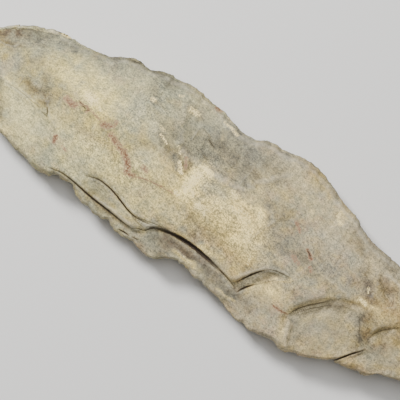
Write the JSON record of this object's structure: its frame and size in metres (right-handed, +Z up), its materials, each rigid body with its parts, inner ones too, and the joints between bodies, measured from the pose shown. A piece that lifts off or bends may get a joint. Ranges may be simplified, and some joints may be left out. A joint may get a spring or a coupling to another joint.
{
  "type": "flint chisel",
  "caption": "Flaked flint chisel, worked on both faces, with stepped flake scars along one margin.",
  "frame": {"origin": "middle of the bounding box, on the surface that the stone lies on", "axes": "+X along the stone from the bit to the butt, +Z up through the worked face"},
  "size_m": [0.15, 0.0436, 0.0181],
  "materials": {
    "flint": "matte"
  },
  "bodies": {
    "root": {"chisel": "flint"}
  },
  "joints": []
}
